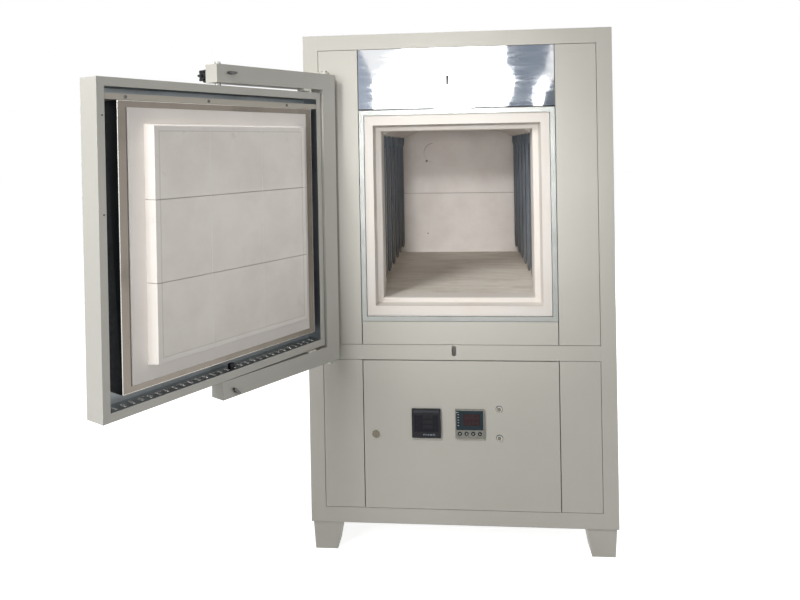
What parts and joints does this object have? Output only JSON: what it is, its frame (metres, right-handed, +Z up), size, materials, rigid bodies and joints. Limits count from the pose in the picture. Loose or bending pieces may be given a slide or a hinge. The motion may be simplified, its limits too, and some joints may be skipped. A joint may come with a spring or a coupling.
{
  "type": "vertical muffle furnace",
  "caption": "Floor-standing muffle furnace with a light grey cabinet, an open swing door with a stepped fibre plug, and a control door below.",
  "frame": {"origin": "on the floor below the middle of the cabinet, level with the soles of the feet", "axes": "+Z up, -Y out of the mouth of the furnace, +X to the right as seen from the front"},
  "size_m": [1.3999, 2.0905, 1.74],
  "materials": {
    "cabinet_paint": "fine-textured light grey paint",
    "polished_steel": "polished",
    "stainless": "brushed",
    "case_steel": "mill",
    "strip_paint": "satin cream paint",
    "pad_paint": "matt",
    "zinc_steel": "zinc plated",
    "bronze": "sintered",
    "fibre_board": "matt pressed fibre",
    "fibre_blanket": "matt fibre",
    "hearth_ceramic": "worn",
    "holder_ceramic": "matt",
    "element_alloy": "dark glaze",
    "aluminium_strap": "mill",
    "black_plastic": "satin",
    "black_steel": "black",
    "core_steel": "varnished",
    "brass_gland": "nickel",
    "meter_glass": "smoked",
    "button_metal": "satin",
    "key_plastic": "satin"
  },
  "bodies": {
    "cabinet": {"frame_uprights": "cabinet_paint", "frame_rails": "cabinet_paint", "cross_rail": "cabinet_paint", "feet": "cabinet_paint", "base_panel": "cabinet_paint", "top_panel": "cabinet_paint", "side_panels": "cabinet_paint", "back_panel": "cabinet_paint", "panel_screws": "zinc_steel", "front_panels": "cabinet_paint", "mirror_panel": "polished_steel", "mouth_trim": "stainless", "mouth_frame": "fibre_board", "hearth": "hearth_ceramic", "chamber_side_walls": "fibre_board", "chamber_roof": "fibre_board", "chamber_back_wall": "fibre_board", "backup_insulation": "fibre_blanket", "inner_case": "case_steel", "heating_elements": "element_alloy", "element_holders": "holder_ceramic", "element_straps": "aluminium_strap", "thermocouple": "stainless", "hinge_brackets": "cabinet_paint", "hinge_pins": "zinc_steel", "control_hinges": "zinc_steel", "transformer": "core_steel", "power_controls": "black_plastic", "cable_gland": "brass_gland"},
    "yoke": {"yoke_post": "cabinet_paint", "yoke_arms": "cabinet_paint", "hinge_bushes": "bronze", "pivot_bolts": "zinc_steel", "stop_pads": "pad_paint"},
    "door": {"door_shell": "cabinet_paint", "door_insulation": "fibre_blanket", "plug_case": "stainless", "plug_flange": "fibre_board", "plug_tiles": "fibre_board", "top_strip": "strip_paint", "door_screws": "zinc_steel", "channel_clip": "black_steel", "pivot_bushes": "zinc_steel"},
    "upper_latch_slide": {"upper_latch_washer": "zinc_steel"},
    "upper_latch": {"upper_t_bolt": "zinc_steel", "upper_latch_knob": "black_plastic"},
    "lower_latch_slide": {"lower_latch_washer": "zinc_steel"},
    "lower_latch": {"lower_t_bolt": "zinc_steel", "lower_latch_knob": "black_plastic"},
    "control_door": {"control_door": "cabinet_paint", "meter_cases": "black_plastic", "meter_windows": "meter_glass", "button_bezels": "button_metal"},
    "door_lock": {"door_lock": "button_metal"},
    "start_button": {"start_button": "button_metal"},
    "stop_button": {"stop_button": "button_metal"},
    "controller_key_1": {"controller_key_1": "key_plastic"},
    "controller_key_2": {"controller_key_2": "key_plastic"},
    "controller_key_3": {"controller_key_3": "key_plastic"},
    "controller_key_4": {"controller_key_4": "key_plastic"}
  },
  "joints": [
    {"name": "yoke_hinge", "type": "hinge", "parent": "cabinet", "child": "yoke", "pos_m": [-0.43, -0.691, 1.579], "axis": [0, 0, 1], "range_deg": [-30, 123.16]},
    {"name": "door_swivel", "type": "hinge", "parent": "yoke", "child": "door", "pos_m": [-0.6652, -1.05097, 1.13], "axis": [0, 0, 1], "range_deg": [-3.2, 0.8]},
    {"name": "upper_latch_slide", "type": "slide", "parent": "yoke", "child": "upper_latch_slide", "axis": [0.8371, -0.547, 0], "range_m": [0, 0.022]},
    {"name": "upper_latch_turn", "type": "hinge", "parent": "upper_latch_slide", "child": "upper_latch", "pos_m": [-0.65153, -1.03004, 1.579], "axis": [0.8371, -0.547, 0], "range_deg": [0, 90]},
    {"name": "lower_latch_slide", "type": "slide", "parent": "yoke", "child": "lower_latch_slide", "axis": [0.8371, -0.547, 0], "range_m": [0, 0.0165]},
    {"name": "lower_latch_turn", "type": "hinge", "parent": "lower_latch_slide", "child": "lower_latch", "pos_m": [-0.65481, -1.03507, 0.678], "axis": [0.8371, -0.547, 0], "range_deg": [-45, 45]},
    {"name": "control_door_hinge", "type": "hinge", "parent": "cabinet", "child": "control_door", "pos_m": [0.3185, -0.647, 0.398], "axis": [0, 0, 1], "range_deg": [0, 110]},
    {"name": "lock_turn", "type": "hinge", "parent": "control_door", "child": "door_lock", "pos_m": [-0.285, -0.652, 0.399], "axis": [0, -1, 0], "range_deg": [0, 90]},
    {"name": "start_button_press", "type": "slide", "parent": "control_door", "child": "start_button", "axis": [0, 1, 0], "range_m": [0, 0.0025], "stiffness_N_per_m": 800, "springref_m": -0.001},
    {"name": "stop_button_press", "type": "slide", "parent": "control_door", "child": "stop_button", "axis": [0, 1, 0], "range_m": [0, 0.0025], "stiffness_N_per_m": 800, "springref_m": -0.001},
    {"name": "controller_key_1_press", "type": "slide", "parent": "control_door", "child": "controller_key_1", "axis": [0, 1, 0], "range_m": [0, 0.0008], "stiffness_N_per_m": 800, "springref_m": -0.0006},
    {"name": "controller_key_2_press", "type": "slide", "parent": "control_door", "child": "controller_key_2", "axis": [0, 1, 0], "range_m": [0, 0.0008], "stiffness_N_per_m": 800, "springref_m": -0.0006},
    {"name": "controller_key_3_press", "type": "slide", "parent": "control_door", "child": "controller_key_3", "axis": [0, 1, 0], "range_m": [0, 0.0008], "stiffness_N_per_m": 800, "springref_m": -0.0006},
    {"name": "controller_key_4_press", "type": "slide", "parent": "control_door", "child": "controller_key_4", "axis": [0, 1, 0], "range_m": [0, 0.0008], "stiffness_N_per_m": 800, "springref_m": -0.0006}
  ],
  "couplings": [
    {"joint": "door_swivel", "follows": "yoke_hinge", "ratio": -0.025658}
  ]
}
